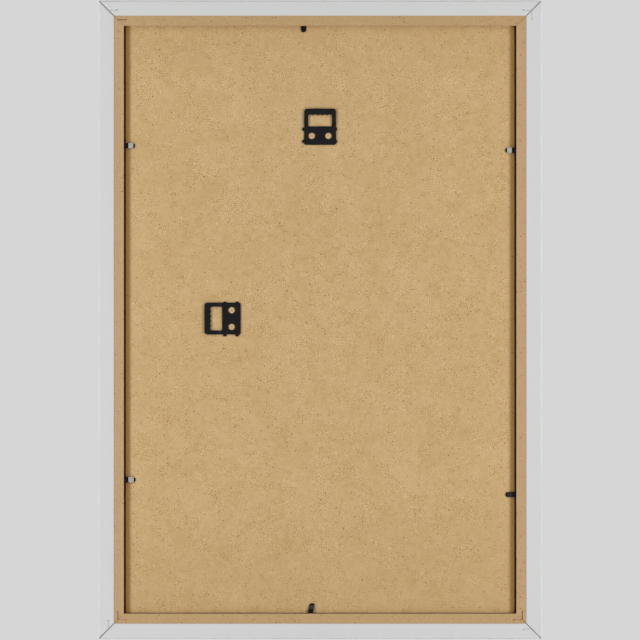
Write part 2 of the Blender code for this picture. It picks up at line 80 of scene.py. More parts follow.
def srgb(red: int, green: int, blue: int) -> Colour:
    """Linear colour of an 8-bit display colour.

    Args:
        red: Red, 0 to 255.
        green: Green, 0 to 255.
        blue: Blue, 0 to 255.

    Returns:
        The three linear values, 0 to 1.
    """
    def linear(level: int) -> float:
        """One channel, by the display curve."""
        share = level / 255
        return share / 12.92 if share <= 0.04045 else ((share + 0.055) / 1.055) ** 2.4

    return linear(red), linear(green), linear(blue)


class Wire:
    """A node's output. Arithmetic on it adds Math nodes to its material."""

    def __init__(self, shader: "Shader", socket: bpy.types.NodeSocket) -> None:
        """Wraps one output socket of a material's node."""
        self.shader = shader
        self.socket = socket

    def _math(self, operation: str, *values: Value) -> "Wire":
        """A Math node of that operation on those values."""
        settings = {"operation": operation}
        return self.shader.node("ShaderNodeMath", settings, dict(enumerate(values)))

    def __add__(self, other: Value) -> "Wire":
        """This plus the other."""
        return self._math("ADD", self, other)

    def __radd__(self, other: Value) -> "Wire":
        """The other plus this."""
        return self._math("ADD", other, self)

    def __sub__(self, other: Value) -> "Wire":
        """This minus the other."""
        return self._math("SUBTRACT", self, other)

    def __rsub__(self, other: Value) -> "Wire":
        """The other minus this."""
        return self._math("SUBTRACT", other, self)

    def __mul__(self, other: Value) -> "Wire":
        """This times the other."""
        return self._math("MULTIPLY", self, other)

    def __rmul__(self, other: Value) -> "Wire":
        """The other times this."""
        return self._math("MULTIPLY", other, self)

    def __abs__(self) -> "Wire":
        """This without its sign."""
        return self._math("ABSOLUTE", self)

    def above(self, edge: Value) -> "Wire":
        """1 where this is greater than an edge, and 0 elsewhere."""
        return self._math("GREATER_THAN", self, edge)

    def least(self, other: Value) -> "Wire":
        """The lesser of this and the other."""
        return self._math("MINIMUM", self, other)

    def ramp(self, low: float, high: float) -> "Wire":
        """0 at low and 1 at high, with a smooth rise between them.

        Args:
            low: The value that gives 0. It may be the greater of the two.
            high: The value that gives 1.

        Returns:
            The share between them, held within 0 and 1.
        """
        settings = {"interpolation_type": "SMOOTHSTEP"}
        sockets = {"Value": self, "From Min": low, "From Max": high}
        return self.shader.node("ShaderNodeMapRange", settings, sockets)


class Shader:
    """A material on the Principled shader, built from expressions."""

    def __init__(self, name: str) -> None:
        """Starts a material of that name with its coordinates ready."""
        self.material = bpy.data.materials.new(name)
        self.material.use_nodes = True
        self.tree = self.material.node_tree
        self.surface = self.tree.nodes["Principled BSDF"]
        self.place = self.node("ShaderNodeTexCoord", {}, {}, "Object")

    def node(
        self, kind: str, settings: dict[str, Any], sockets: dict[Union[str, int], Any],
        output: Union[str, int] = 0,
    ) -> Wire:
        """Adds a node of any kind.

        Args:
            kind: The node's type name.
            settings: Its properties, which are set first.
            sockets: Values or wires of its inputs, by name or number.
            output: The output to hand back, by name or number.

        Returns:
            The chosen output.
        """
        made = self.tree.nodes.new(kind)
        for key, value in settings.items():
            setattr(made, key, value)
        for key, value in sockets.items():
            self._feed(made.inputs[key], value)
        return Wire(self, made.outputs[output])

    def _feed(self, socket: bpy.types.NodeSocket, value: Any) -> None:
        """Links or sets one input socket."""
        if isinstance(value, Wire):
            self.tree.links.new(value.socket, socket)
        elif isinstance(value, tuple) and socket.type == "RGBA":
            socket.default_value = (*value, 1.0)
        else:
            socket.default_value = value

    def set(self, **values: Any) -> None:
        """Sets or links the Principled shader's sockets, written with underscores."""
        for key, value in values.items():
            self._feed(self.surface.inputs[key.replace("_", " ")], value)

    def part(self, axis: str, vector: Optional[Wire] = None) -> Wire:
        """One coordinate of a vector, or of the surface's own place if none is given."""
        return self.node("ShaderNodeSeparateXYZ", {}, {0: vector or self.place}, axis)

    def facing_back(self) -> Wire:
        """How far the surface faces back towards the wall: 1 if squarely, -1 if away."""
        return self.part("Y", self.node("ShaderNodeTexCoord", {}, {}, "Normal"))

    def stretched(self, scale: tuple[float, float, float]) -> Wire:
        """Object coordinates in pattern units, so many to a metre along each axis."""
        sockets = {0: self.place, 1: scale}
        return self.node("ShaderNodeVectorMath", {"operation": "MULTIPLY"}, sockets)

    def noise(self, place: Wire, scale: float, detail: float = 2.0, twist: float = 0.0) -> Wire:
        """Noise about 0.5 at a place.

        Args:
            place: The coordinates.
            scale: Features to a coordinate unit.
            detail: Octaves of finer noise.
            twist: How far the noise distorts itself.

        Returns:
            The noise value.
        """
        sockets = {"Vector": place, "Scale": scale, "Detail": detail, "Distortion": twist}
        return self.node("ShaderNodeTexNoise", {}, sockets)

    def blend(self, share: Value, first: Union[Wire, Colour], second: Union[Wire, Colour]) -> Wire:
        """Mixes two colours by a share, 0 for the first and 1 for the second."""
        sockets = {0: share, 6: first, 7: second}
        return self.node("ShaderNodeMix", {"data_type": "RGBA"}, sockets, 2)

    def relief(self, height: Wire, depth: float, strength: float = 1.0) -> None:
        """Bumps the surface by a height of 0 to 1 that stands for a depth in metres."""
        sockets = {"Height": height, "Distance": depth, "Strength": strength}
        self.set(Normal=self.node("ShaderNodeBump", {}, sockets))


BUILT: dict[str, bpy.types.Material] = {}


@dataclass(frozen=True)
class Finish:
    """A finish with a name and a main colour. Its material is built once."""

    name: str
    tone: Colour

    def make(self) -> bpy.types.Material:
        """Builds the material."""
        raise NotImplementedError

    def material(self) -> bpy.types.Material:
        """The material, which is built at its first use."""
        if self.name not in BUILT:
            BUILT[self.name] = self.make()
        return BUILT[self.name]

    def shade(self, red: float, green: float, blue: float) -> Colour:
        """The main colour times a factor for each channel."""
        return self.tone[0] * red, self.tone[1] * green, self.tone[2] * blue


class Grain(Enum):
    """Which way the cutter ran along a board, as its streaks' scale along each axis."""

    ALONG_X = (40.0, 900.0, 900.0)
    ALONG_Z = (900.0, 900.0, 40.0)
    NONE = (300.0, 300.0, 300.0)


@dataclass(frozen=True)
class Fibreboard(Finish):
    """Raw fibreboard: pressed fibres in tan tones, with curls, flecks and bark specks.

    Clouds, grit, curls, specks and streaks are strengths, as shares of the tone, and the
    clouds' go from the coarsest layer to the finest. Scales are features to a metre. Dark to
    bark are factors of the tone. Each painted shade, at the ends and at the sides, is how far
    in it starts, how far in it is full, and its strength. It paints the shade that falls on
    the panel next to the rails, and its two tones are painted shade.
    """

    grain: Grain = Grain.NONE
    strength: float = 1.0
    clouds: tuple[float, ...] = (0.10, 0.11, 0.17, 0.22)
    cloud_scale: float = 18.0
    cloud_step: float = 2.3
    grit: float = 0.82
    grit_scale: float = 1050.0
    curls: float = 0.34
    pale_scale: float = 420.0
    dull_scale: float = 380.0
    curl_width: float = 0.045
    patch_scale: float = 90.0
    specks: float = 0.95
    speck_scale: float = 260.0
    speck_edge: tuple[float, float] = (0.19, 0.10)
    speck_odds: tuple[float, float] = (0.40, 0.90)
    speck_pull: float = 1.2 * MM
    pull_scale: float = 500.0
    streaks: float = 0.0
    roughness: float = 0.85
    relief_depth: float = 0.05 * MM
    dark: Colour = (0.65, 0.495, 0.11)
    light: Colour = (1.35, 1.525, 1.97)
    # Painted shade: the next two tones darken the panel next to the rails.
    painted_end_shade_tone: Colour = (0.74, 0.71, 0.62)
    painted_side_shade_tone: Colour = (0.85, 0.74, 0.47)
    core: Colour = (0.60, 0.52, 0.40)
    bark: Colour = (0.22, 0.15, 0.08)
    core_start: float = 0.15 * MM
    core_depth: float = 0.0
    # Painted shade on the panel, next to the rails at its ends and sides.
    painted_rail_shade: bool = False
    top_painted_shade: tuple[float, float, float] = (60 * MM, 0.0, 0.45)
    bottom_painted_shade: tuple[float, float, float] = (150 * MM, 20 * MM, 0.42)
    side_painted_shade: tuple[float, float, float] = (6.0 * MM, 2.5 * MM, 0.85)
    end_fade: float = 6 * MM
    painted_end_shade_share: float = 0.50

    def make(self) -> bpy.types.Material:
        """Builds the material."""
        shader = Shader(self.name)
        level = self._clouds(shader)
        grit = shader.noise(shader.place, self.grit_scale, 0.0) - 0.5
        pale = abs(shader.noise(shader.place, self.pale_scale, 1.0, 1.6) - 0.5)
        pale = pale.ramp(self.curl_width, 0.0)
        dull = abs(shader.noise(shader.place, self.dull_scale, 1.0, 2.0) - 0.52)
        dull = dull.ramp(self.curl_width, 0.0)
        patch = shader.noise(shader.place, self.patch_scale, 2.0).ramp(0.40, 0.62)
        level = level + grit * self.grit * (0.5 + patch)
        level = level + (pale * (0.35 + patch * 0.9) - dull * patch * 1.1) * self.curls
        if self.streaks:
            streak = shader.noise(shader.stretched(self.grain.value), 1.0, 2.0) - 0.5
            level = level + streak * self.streaks
        board = self._toned(shader, level * self.strength)
        # Painted shade where the rails shade the panel.
        if self.painted_rail_shade:
            board = self._paint_rail_shade(shader, board)
        if self.core_depth:
            board = self._milled(shader, board)
        speck = self._specks(shader)
        board = shader.blend(speck * self.specks, board, self.shade(*self.bark))
        shader.set(Base_Color=board, Roughness=self.roughness - pale * 0.08)
        height = grit * 0.8 + pale * 0.3 - dull * 0.3 - speck * 0.5 + 0.5
        shader.relief(height, self.relief_depth)
        return shader.material

    def _clouds(self, shader: Shader) -> Wire:
        """Blotches that get smaller from layer to layer, about 0."""
        level, scale = 0.0, self.cloud_scale
        for share in self.clouds:
            level = (shader.noise(shader.place, scale, 1.0, 0.3) - 0.5) * share + level
            scale *= self.cloud_step
        return level

    def _toned(self, shader: Shader, level: Wire) -> Wire:
        """The board's colour for a level about 0, from dark at -0.5 to light at 0.5."""
        return shader.blend(level + 0.5, self.shade(*self.dark), self.shade(*self.light))

    def _paint_rail_shade(self, shader: Shader, board: Wire) -> Wire:
        """Paints shade on the board: darker towards the ends, warmer and darker at the sides."""
        low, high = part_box("back_panel")
        height = shader.part("Z")
        below, above = high[2] - height, height - low[2]
        # Painted shade towards the top and bottom rails, for their shade and the lamps' falloff.
        start, full, most = self.top_painted_shade
        top = below.ramp(start, full) * below.ramp(0.0, self.end_fade) * most
        start, full, most = self.bottom_painted_shade
        bottom = above.ramp(start, full) * above.ramp(0.0, self.end_fade) * most
        share = (top + bottom) * self.painted_end_shade_share
        board = shader.blend(share, board, self.shade(*self.painted_end_shade_tone))
        # Painted shade along the sides, where the side rails' walls shade the panel.
        start, full, most = self.side_painted_shade
        edge = (high[0] - abs(shader.part("X"))).ramp(start, full)
        return shader.blend(edge * most, board, self.shade(*self.painted_side_shade_tone))

    def _milled(self, shader: Shader, board: Wire) -> Wire:
        """Darkens the core, which shows where the rail was milled below its back face."""
        deep = shader.part("Y").ramp(-self.core_start, -self.core_depth)
        return shader.blend(deep, board, self.shade(*self.core))

    def _specks(self, shader: Shader) -> Wire:
        """Sparse dark bark specks, slightly drawn out by the fibres round them."""
        sockets = {"Vector": shader.place, "Scale": self.pull_scale}
        pull = shader.node("ShaderNodeTexNoise", {}, sockets, "Color")
        sockets = {0: pull, "Scale": self.speck_pull}
        pull = shader.node("ShaderNodeVectorMath", {"operation": "SCALE"}, sockets)
        sockets = {0: shader.place, 1: pull}
        place = shader.node("ShaderNodeVectorMath", {"operation": "ADD"}, sockets)
        cells = {"Vector": place, "Scale": self.speck_scale}
        distance = shader.node("ShaderNodeTexVoronoi", {}, cells)
        chance = shader.node("ShaderNodeTexVoronoi", {}, cells, "Color")
        chance = shader.node("ShaderNodeSeparateColor", {}, {0: chance})
        return distance.ramp(*self.speck_edge) * chance.ramp(*self.speck_odds)


@dataclass(frozen=True)
class WhiteFoil(Finish):
    """Satin white decor foil, with a faint orange peel and grey dust in its mitred edges."""

    roughness: float = 0.42
    cloud_scale: float = 14.0
    peel_scale: float = 700.0
    peel_depth: float = 0.012 * MM
    scuff_stretch: tuple[float, float, float] = (60.0, 200.0, 60.0)
    scuff_share: float = 0.25
    scuffed: Colour = (0.94, 0.94, 0.93)
    mitre_dust: float = 0.54 * MM
    dusty: Colour = (0.09, 0.095, 0.095)

    def make(self) -> bpy.types.Material:
        """Builds the material."""
        shader = Shader(self.name)
        cloud = shader.noise(shader.place, self.cloud_scale, 2.0)
        peel = shader.noise(shader.place, self.peel_scale, 1.0)
        scuff = shader.noise(shader.stretched(self.scuff_stretch), 1.0, 4.0).ramp(0.66, 0.78)
        tone = shader.blend(cloud, self.shade(0.98, 0.98, 0.98), self.shade(1.01, 1.01, 1.01))
        tone = shader.blend(scuff * self.scuff_share, tone, self.shade(*self.scuffed))
        tone = shader.blend(self._dust(shader), tone, self.shade(*self.dusty))
        roughness = self.roughness + (peel - 0.5) * 0.12 + scuff * 0.1
        shader.set(Base_Color=tone, Roughness=roughness)
        shader.relief(peel, self.peel_depth)
        return shader.material

    def _dust(self, shader: Shader) -> Wire:
        """Share of grey dust, which gathers along the sawn edges of the mitres."""
        low, high = CAD_BOX
        longer = ((high.z - low.z) - (high.x - low.x)) / 2
        height = abs(shader.part("Z") - (low.z + high.z) / 2)
        beside = abs(height - abs(shader.part("X")) - longer) * math.sqrt(0.5)
        patchy = shader.noise(shader.place, 260.0, 2.0)
        stretch = shader.noise(shader.place, 70.0, 1.0).ramp(0.35, 0.60)
        ragged = beside + (patchy - 0.5) * (0.25 * MM)
        line = ragged.ramp(self.mitre_dust, self.mitre_dust * 0.7)
        return line * (stretch * 0.35 + 0.65)


@dataclass(frozen=True)
class BlackLacquer(Finish):
    """Black lacquer on pressed steel, satin, thinner at random spots."""

    roughness: float = 0.36
    shine: float = 0.14
    mottle_scale: float = 300.0
    peel_scale: float = 1500.0
    peel_depth: float = 0.01 * MM
    rub_scale: float = 700.0
    rubbed: Colour = (4.0, 3.8, 3.8)

    def make(self) -> bpy.types.Material:
        """Builds the material."""
        shader = Shader(self.name)
        mottle = shader.noise(shader.place, self.mottle_scale, 3.0)
        peel = shader.noise(shader.place, self.peel_scale, 2.0)
        rub = shader.noise(shader.place, self.rub_scale, 4.0, 0.5).ramp(0.60, 0.76)
        tone = shader.blend(mottle, self.shade(0.6, 0.6, 0.55), self.shade(1.5, 1.4, 1.6))
        tone = shader.blend(rub * 0.35, tone, self.shade(*self.rubbed))
        shader.set(Base_Color=tone, Roughness=self.roughness + (peel - 0.5) * 0.14 - rub * 0.08)
        shader.set(Specular_IOR_Level=self.shine)
        shader.relief(peel, self.peel_depth)
        return shader.material


@dataclass(frozen=True)
class TemperedSteel(Finish):
    """Spring steel with a dark temper skin, and brighter metal painted on its slopes as a glint.
    """

    painted_glint_tone: Colour
    roughness: float = 0.20
    grain_stretch: tuple[float, float, float] = (900.0, 900.0, 250.0)
    grain_depth: float = 0.006 * MM
    mottle_scale: float = 420.0

    def make(self) -> bpy.types.Material:
        """Builds the material."""
        shader = Shader(self.name)
        lean = 1.0 - shader.facing_back()
        grain = shader.noise(shader.stretched(self.grain_stretch), 1.0, 3.0)
        mottle = shader.noise(shader.place, self.mottle_scale, 3.0)
        # Painted highlight: slopes that lean from a few degrees up to about forty get brighter
        # metal, which glints.
        painted_glint_share = lean.ramp(0.0, 0.045) * lean.ramp(0.30, 0.18)
        tone = shader.blend(mottle, self.shade(0.6, 0.6, 0.7), self.shade(1.5, 1.4, 1.3))
        tone = shader.blend(painted_glint_share * (0.75 + mottle * 0.4), tone, self.painted_glint_tone)
        shader.set(Base_Color=tone, Metallic=1.0, Roughness=self.roughness + (grain - 0.5) * 0.1)
        shader.relief(grain, self.grain_depth)
        return shader.material


@dataclass(frozen=True)
class BrightSteel(Finish):
    """Plain rolled strip steel with fine rolling lines, and packed dust on what faces back."""

    dust: Colour
    roughness: float = 0.38
    line_stretch: tuple[float, float, float] = (3000.0, 120.0, 3000.0)
    line_depth: float = 0.008 * MM
    stain_scale: float = 260.0

    def make(self) -> bpy.types.Material:
        """Builds the material."""
        shader = Shader(self.name)
        lines = shader.noise(shader.stretched(self.line_stretch), 1.0, 2.0)
        stain = shader.noise(shader.place, self.stain_scale, 3.0)
        tone = shader.blend(stain, self.shade(0.6, 0.56, 0.52), self.tone)
        packed = shader.facing_back().ramp(0.5, 0.9) * (stain * 1.6 + 0.2)
        tone = shader.blend(packed, tone, self.dust)
        shader.set(Base_Color=tone, Metallic=0.9 - packed * 0.9)
        shader.set(Roughness=self.roughness + (lines - 0.5) * 0.2 + packed * 0.4)
        shader.relief(lines, self.line_depth)
        return shader.material


@dataclass(frozen=True)
class ClearGlass(Finish):
    """Float glass with a faint green cast, slow ripples and sawdust along its edges."""

    dust: Colour
    cover: float = 0.14
    smooth: float = 0.03
    smear_stretch: tuple[float, float, float] = (30.0, 30.0, 12.0)
    ripple_scale: float = 9.0
    ripple_depth: float = 0.05 * MM
    rim: tuple[float, float] = (2.6 * MM, 1.6 * MM)

    def make(self) -> bpy.types.Material:
        """Builds the material."""
        shader = Shader(self.name)
        ripple = shader.noise(shader.place, self.ripple_scale, 1.0)
        smear = shader.noise(shader.stretched(self.smear_stretch), 1.0, 3.0)
        tone = shader.blend(smear, self.tone, self.shade(0.97, 0.98, 0.975))
        dusty = self._dusty(shader)
        tone = shader.blend(dusty, tone, self.dust)
        roughness = self.smooth + smear * 0.03 + dusty * 0.9
        cover = self.cover + smear * 0.02 + dusty * (0.98 - self.cover)
        shader.set(Base_Color=tone, Roughness=roughness, Alpha=cover)
        shader.relief(ripple, self.ripple_depth, 0.4)
        return shader.material

    def _dusty(self, shader: Shader) -> Wire:
        """Share of sawdust, which lies on the rim that the board leaves bare."""
        low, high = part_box("glass_pane")
        beside = high[0] - abs(shader.part("X"))
        height = shader.part("Z") - (low[2] + high[2]) / 2
        below = (high[2] - low[2]) / 2 - abs(height)
        return beside.least(below).ramp(*self.rim)


@dataclass(frozen=True)
class PlainPaper(Finish):
    """Matte white paper with a faint fibre."""

    roughness: float = 0.8
    fibre_scale: float = 900.0
    fibre_depth: float = 0.01 * MM
    cloud_scale: float = 30.0

    def make(self) -> bpy.types.Material:
        """Builds the material."""
        shader = Shader(self.name)
        fibre = shader.noise(shader.place, self.fibre_scale, 3.0, 1.0)
        cloud = shader.noise(shader.place, self.cloud_scale, 2.0)
        tone = shader.blend(fibre * 0.6 + cloud * 0.4, self.shade(0.97, 0.97, 0.96), self.tone)
        shader.set(Base_Color=tone, Roughness=self.roughness - fibre * 0.05)
        shader.relief(fibre, self.fibre_depth)
        return shader.material


@dataclass(frozen=True)
class PaleFloor(Finish):
    """Plain matte floor with a faint mottle, shown mostly in its own even tone."""

    evenness: float = 0.72
    strength: float = 1.36
    roughness: float = 0.9
    mottle_scale: float = 6.0

    def make(self) -> bpy.types.Material:
        """Builds the material."""
        shader = Shader(self.name)
        mottle = shader.noise(shader.place, self.mottle_scale, 2.0)
        tone = shader.blend(mottle, self.shade(0.98, 0.98, 0.98), self.tone)
        shader.set(Base_Color=tone, Roughness=self.roughness)
        even = shader.node("ShaderNodeEmission", {}, {"Color": tone, "Strength": self.strength})
        seen = shader.node("ShaderNodeLightPath", {}, {}, "Is Camera Ray")
        seen = seen + shader.node("ShaderNodeLightPath", {}, {}, "Is Glossy Ray")
        seen = seen + shader.node("ShaderNodeLightPath", {}, {}, "Is Transmission Ray")
        lit = Wire(shader, shader.surface.outputs[0])
        sockets = {0: seen.above(0.5) * self.evenness, 1: lit, 2: even}
        mixed = shader.node("ShaderNodeMixShader", {}, sockets)
        output = shader.tree.nodes["Material Output"]
        shader.tree.links.new(mixed.socket, output.inputs["Surface"])
        return shader.material


@dataclass(frozen=True)
class PackedDust(Finish):
    """Sawdust pressed into a joint or a slot, with glue in it."""

    roughness: float = 0.75
    dust_scale: float = 900.0
    dust_depth: float = 0.03 * MM
    shadowed: Colour = (0.75, 0.72, 0.68)

    def make(self) -> bpy.types.Material:
        """Builds the material."""
        shader = Shader(self.name)
        dust = shader.noise(shader.place, self.dust_scale, 3.0)
        tone = shader.blend(dust, self.shade(*self.shadowed), self.tone)
        shader.set(Base_Color=tone, Roughness=self.roughness - dust * 0.1)
        shader.relief(dust, self.dust_depth)
        return shader.material


# The panel's board carries painted shade next to the rails.
PANEL_BOARD = Fibreboard("panel_fibreboard", srgb(196, 163, 112), painted_rail_shade=True)
SIDE_BOARD = Fibreboard(
    "side_rail_fibreboard", srgb(186, 153, 111), Grain.ALONG_Z, 0.5,
    streaks=0.3, core_depth=0.5 * MM,
)
CROSS_BOARD = Fibreboard(
    "cross_rail_fibreboard", srgb(184, 151, 105), Grain.ALONG_X, 0.5, streaks=0.3
)
FOIL = WhiteFoil("white_foil", srgb(210, 210, 210))
LACQUERED_STEEL = BlackLacquer("black_lacquered_steel", srgb(18, 18, 19))
# The second tone is a painted highlight: the glint on the points' slopes.
TEMPERED_STEEL = TemperedSteel("black_tempered_steel", srgb(34, 31, 28), srgb(88, 86, 85))
BOARD_NAIL = BrightSteel("nail_steel_in_board", srgb(120, 112, 100), srgb(126, 92, 52))
FOIL_NAIL = BrightSteel("nail_steel_in_foil", srgb(120, 118, 116), srgb(160, 160, 159))
GLASS = ClearGlass("clear_glass", srgb(232, 240, 236), srgb(150, 104, 44))
PAPER = PlainPaper("insert_paper", srgb(232, 232, 230))
GLUE = PackedDust("mitre_glue", srgb(184, 152, 110))
FLOOR = PaleFloor("pale_floor", srgb(214, 214, 214))
BOARD_DUST = PackedDust("board_dust", srgb(166, 133, 90))
FOIL_DUST = PackedDust("foil_dust", srgb(196, 196, 195))


def dress(piece: bpy.types.Object, finish: Finish) -> None:
    """Gives a piece one finish in all its slots.

    Args:
        piece: The piece or CAD node.
        finish: The finish that it takes.
    """
    if not piece.material_slots:
        piece.data.materials.append(finish.material())
    for slot in piece.material_slots:
        slot.material = finish.material()


def pick_only(piece: bpy.types.Object) -> None:
    """Selects one object and makes it active."""
    bpy.ops.object.select_all(action="DESELECT")
    piece.select_set(True)
    bpy.context.view_layer.objects.active = piece


def apply_modifier(piece: bpy.types.Object, kind: str, **settings: Any) -> None:
    """Adds a modifier to a piece and applies it.

    Args:
        piece: The piece.
        kind: The modifier's type name.
        settings: The modifier's properties.
    """
    pick_only(piece)
    modifier = piece.modifiers.new(kind.lower(), kind)
    for key, value in settings.items():
        setattr(modifier, key, value)
    bpy.ops.object.modifier_apply(modifier=modifier.name)


def in_edit(piece: bpy.types.Object, work: Callable[[], None]) -> None:
    """Runs some work on a piece in edit mode, with nothing selected at its start."""
    pick_only(piece)
    bpy.ops.object.mode_set(mode="EDIT")
    bpy.ops.mesh.select_all(action="DESELECT")
    work()
    bpy.ops.object.mode_set(mode="OBJECT")


def pick_faces(
    piece: bpy.types.Object, wanted: Callable[[bpy.types.MeshPolygon], bool]
) -> None:
    """Selects the faces of a piece that pass a test, from within edit mode.

    Args:
        piece: The piece, in edit mode.
        wanted: The test of one face.
    """
    bpy.ops.mesh.select_all(action="DESELECT")
    bpy.ops.object.mode_set(mode="OBJECT")
    for face in piece.data.polygons:
        face.select = wanted(face)
    bpy.ops.object.mode_set(mode="EDIT")


def merged_copy(node: str, name: str) -> bpy.types.Object:
    """Copy of a CAD node with its doubles merged and its flat faces whole.

    Args:
        node: The CAD node.
        name: The new piece's name.

    Returns:
        The new piece.
    """
    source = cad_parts[node]
    piece = bpy.data.objects.new(name, source.data.copy())
    bpy.context.scene.collection.objects.link(piece)

    def merge() -> None:
        """Joins the loose triangles and dissolves the flat ones into faces."""
        bpy.ops.mesh.select_all(action="SELECT")
        bpy.ops.mesh.remove_doubles(threshold=MERGE_REACH)
        bpy.ops.mesh.dissolve_limited(angle_limit=FLAT_ANGLE)

    in_edit(piece, merge)
    bpy.ops.object.shade_smooth_by_angle(angle=SMOOTH_ANGLE)
    return piece


def corner_of(place: str) -> Vector:
    """The frame's corner, on the back face, that a place's name gives by its words."""
    low, high = CAD_BOX
    side = low.x if "left" in place else high.x
    return Vector((side, 0, low.z if "bottom" in place else high.z))


def softened_copy(node: str, name: str, radius: float, rings: int = 3) -> bpy.types.Object:
    """Merged copy of a CAD node with its sharp edges rounded.

    Args:
        node: The CAD node that the copy stands for.
        name: The new piece's name.
        radius: Radius of the rounded edges, in metres.
        rings: Facets across each rounded edge.

    Returns:
        The new piece, which replaces the node.
    """
    piece = merged_copy(node, name)
    apply_modifier(
        piece, "BEVEL", width=radius, segments=rings, limit_method="ANGLE",
        angle_limit=SHARP_ANGLE, use_clamp_overlap=True, harden_normals=False,
    )
    pick_only(piece)
    bpy.ops.object.shade_smooth_by_angle(angle=SMOOTH_ANGLE)
    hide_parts(node)
    return piece


@dataclass
class Rails:
    """The four mitred rails with their foil wraps and the glue in their mitres.

    The wall is the rails' width at the back, and the lip is what reaches in over the
    picture. The seam is the glue's thickness, and it lies the sink below all surfaces.
    """

    sides: tuple[str, ...] = ("left", "right")
    crosses: tuple[str, ...] = ("top", "bottom")
    wall: float = 25.5 * MM
    lip: float = 4.5 * MM
    lip_depth: float = 5.0 * MM
    skin: float = 0.5 * MM
    foil_return: float = 15.5 * MM
    foil_sink: float = 1.4 * MM
    seam: float = 0.24 * MM
    sink: float = 0.04 * MM

    def build(self) -> list[bpy.types.Object]:
        """Dresses the rails and adds the glue seams.

        Returns:
            The new pieces.
        """
        for side in self.sides + self.crosses:
            board = SIDE_BOARD if side in self.sides else CROSS_BOARD
            dress(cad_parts[f"{side}_rail"], board)
            dress(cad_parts[f"{side}_rail_foil"], FOIL)
        seams = [self.seam_at(cross, side) for cross in self.crosses for side in self.sides]
        for piece in seams:
            dress(piece, GLUE)
            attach(piece, ROOT_BODY)
        return seams

    def seam_at(self, cross: str, side: str) -> bpy.types.Object:
        """The sheet of glue in one mitre, with the rails' own section.

        Args:
            cross: The top or bottom rail.
            side: The left or right rail.

        Returns:
            The seam, in its place.
        """
        low, high = CAD_BOX
        front, back = low.y + self.skin + self.sink, high.y - self.sink
        reach = (self.wall - self.skin - 2 * self.sink) * math.sqrt(2)
        start = (self.skin + self.sink) * math.sqrt(2)
        middle = (start + reach / 2, (front + back) / 2, 0.0)
        bpy.ops.mesh.primitive_cube_add(size=1.0, location=middle)
        seam = bpy.context.object
        seam.name = f"mitre_glue_{cross}_{side}"
        seam.scale = (reach, back - front, self.seam)
        bpy.ops.object.transform_apply(location=True, rotation=False, scale=True)
        step = self.foil_return * math.sqrt(2)
        lip = (self.lip - 2 * self.sink) * math.sqrt(2)
        ledge = low.y + self.lip_depth

        def shape() -> None:
            """Steps the seam down under the foil and draws its lip out."""
            bpy.ops.mesh.select_all(action="SELECT")
            bpy.ops.mesh.bisect(plane_co=(step, 0, 0), plane_no=(1, 0, 0))
            bpy.ops.mesh.select_all(action="SELECT")
            bpy.ops.mesh.bisect(plane_co=(0, ledge, 0), plane_no=(0, 1, 0))
            pick_faces(seam, lambda face: face.normal.y > 0.9 and face.center.x < step)
            bpy.ops.transform.translate(value=(0, -self.foil_sink, 0))
            pick_faces(seam, lambda face: face.normal.x > 0.9 and face.center.y < ledge)
            bpy.ops.mesh.extrude_region_move(TRANSFORM_OT_translate={"value": (lip, 0, 0)})

        in_edit(seam, shape)
        corner = corner_of(f"{cross}_{side}")
        turn = math.atan2(-1 if cross == "bottom" else 1, 1 if side == "left" else -1)
        seam.data.transform(Matrix.Translation(corner) @ Matrix.Rotation(turn, 4, "Y"))
        return seam


@dataclass
class BackPanel:
    """The fibreboard back panel with its two clinched hangers.

    Edge is the radius of the hangers' edges. The panel's ends move by the rise and the drop.
    """

    hangers: tuple[str, ...] = ("portrait", "landscape")
    edge: float = 0.22 * MM
    rise: float = 0.38 * MM
    drop: float = 0.20 * MM

    def build(self) -> list[bpy.types.Object]:
        """Makes the panel and rounds the hangers.

        Returns:
            The new pieces.
        """
        made = [self.board()]
        for name in self.hangers:
            hanger = softened_copy(f"{name}_hanger", f"{name}_hanger_pressing", self.edge)
            dress(hanger, LACQUERED_STEEL)
            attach(hanger, ROOT_BODY)
            made.append(hanger)
        return made

    def board(self) -> bpy.types.Object:
        """The panel, cut a little longer than the solid, so that its top end meets the rail."""
        board = merged_copy("back_panel", "back_panel_board")
        low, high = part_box("back_panel")

        def lengthen() -> None:
            """Moves the top edge up and the bottom edge down."""
            pick_faces(board, lambda face: face.normal.z > 0.9 and face.center.z > high[2] - MM)
            bpy.ops.transform.translate(value=(0, 0, self.rise))
            pick_faces(board, lambda face: face.normal.z < -0.9 and face.center.z < low[2] + MM)
            bpy.ops.transform.translate(value=(0, 0, -self.drop))

        in_edit(board, lengthen)
        dress(board, PANEL_BOARD)
        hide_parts("back_panel")
        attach(board, ROOT_BODY)
        return board


@dataclass
class Glazing:
    """The glass pane and the insert sheet behind it."""

    def build(self) -> list[bpy.types.Object]:
        """Dresses the glass and the paper.

        Returns:
            No new pieces.
        """
        dress(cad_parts["glass_pane"], GLASS)
        dress(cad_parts["insert_sheet"], PAPER)
        return []


@dataclass
class Points:
    """The bendable points round the rebate."""

    places: tuple[str, ...] = (
        "right_upper", "right_lower", "left_upper", "left_lower", "top", "bottom"
    )
    edge: float = 0.12 * MM

    def build(self) -> list[bpy.types.Object]:
        """Rounds and dresses each point, and dresses its shank.

        Returns:
            The new pieces.
        """
        made = []
        for place in self.places:
            dress(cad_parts[f"shank_{place}"], TEMPERED_STEEL)
            point = softened_copy(f"point_{place}", f"point_{place}_tongue", self.edge, 2)
            dress(point, TEMPERED_STEEL)
            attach(point, f"{place}_point")
            made.append(point)
        return made


class Fill(Enum):
    """How much of a nail's slot is filled: nothing, most of it, or all of it with its end."""

    OPEN = 0
    MOST = 1
    ALL = 2


